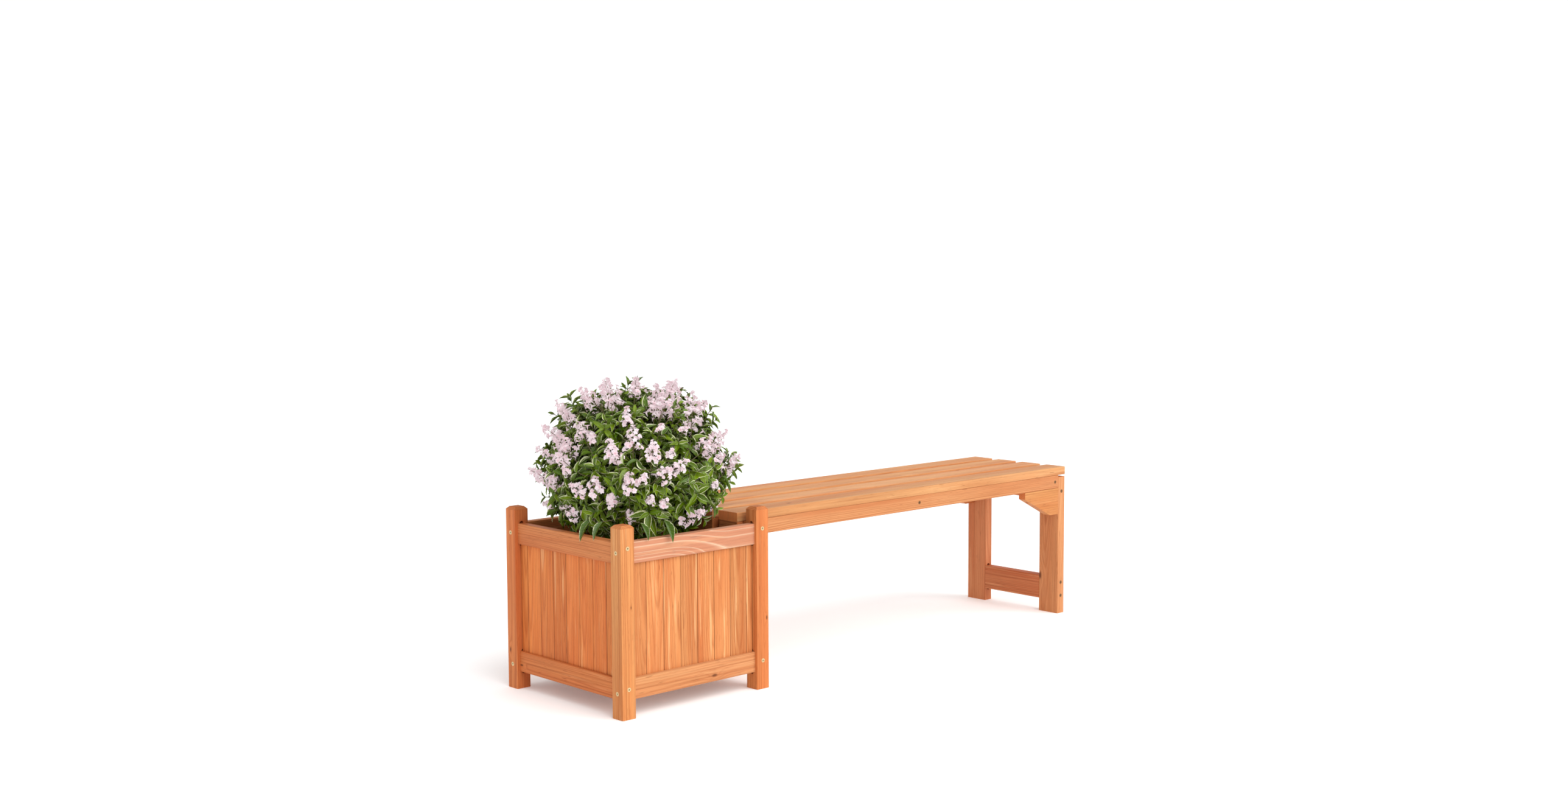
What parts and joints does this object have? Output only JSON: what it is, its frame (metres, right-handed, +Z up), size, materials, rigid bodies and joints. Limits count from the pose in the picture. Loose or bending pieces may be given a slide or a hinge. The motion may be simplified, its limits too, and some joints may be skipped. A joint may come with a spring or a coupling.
{
  "type": "bench with planter",
  "caption": "Backless wooden garden bench whose slatted seat runs from a square boarded planter with a rounded flowering shrub to a plain leg frame.",
  "frame": {"origin": "middle of the footprint's bounding box at floor level, the shrub's overhang past the planter included", "axes": "+X along the bench from the planter to the leg frame, +Y from the near side to the far side, +Z up"},
  "size_m": [1.4824, 0.4318, 0.668],
  "materials": {
    "fir_frame": "planed and oiled softwood, warm orange brown",
    "fir_boards": "planed and oiled softwood boards, upright grain",
    "fir_slats": "planed and oiled softwood, eased edges",
    "fir_floor": "planed softwood, stained by soil",
    "screw_steel": "yellow passivated zinc on steel",
    "potting_soil": "loose dark potting soil",
    "shrub_stems": "young brown bark",
    "shrub_crown": "small glossy leaves with cream edges and pale pink flowers"
  },
  "bodies": {
    "root": {"apron_screws": "screw_steel", "back_apron": "fir_frame", "back_gusset": "fir_frame", "back_leg": "fir_frame", "back_lower_rail": "fir_frame", "back_upper_rail": "fir_frame", "back_wall_boards": "fir_boards", "block_screws": "screw_steel", "cleat_screws": "screw_steel", "floor_screws": "screw_steel", "floor_slat_1": "fir_floor", "floor_slat_2": "fir_floor", "floor_slat_3": "fir_floor", "floor_slat_4": "fir_floor", "floor_slat_5": "fir_floor", "front_apron": "fir_frame", "front_gusset": "fir_frame", "front_leg": "fir_frame", "front_lower_rail": "fir_frame", "front_upper_rail": "fir_frame", "front_wall_boards": "fir_boards", "gusset_screws": "screw_steel", "gusset_tip_screws": "screw_steel", "hook_block_1": "fir_frame", "hook_block_2": "fir_frame", "hook_block_3": "fir_frame", "hook_block_4": "fir_frame", "left_floor_cleat": "fir_floor", "left_lower_rail": "fir_frame", "left_upper_rail": "fir_frame", "left_wall_boards": "fir_boards", "leg_end_bearer": "fir_frame", "leg_frame_screws": "screw_steel", "leg_screws": "screw_steel", "lower_cross_rail": "fir_frame", "middle_bearer": "fir_frame", "planter_end_bearer": "fir_frame", "post_back_left": "fir_frame", "post_back_right": "fir_frame", "post_front_left": "fir_frame", "post_front_right": "fir_frame", "post_screws": "screw_steel", "potting_soil": "potting_soil", "right_floor_cleat": "fir_floor", "right_lower_rail": "fir_frame", "right_upper_rail": "fir_frame", "right_wall_boards": "fir_boards", "seat_slat_1": "fir_slats", "seat_slat_2": "fir_slats", "seat_slat_3": "fir_slats", "seat_slat_4": "fir_slats", "shrub_crown": "shrub_crown", "shrub_stems": "shrub_stems", "slat_screws": "screw_steel", "upper_cross_rail": "fir_frame"}
  },
  "joints": []
}
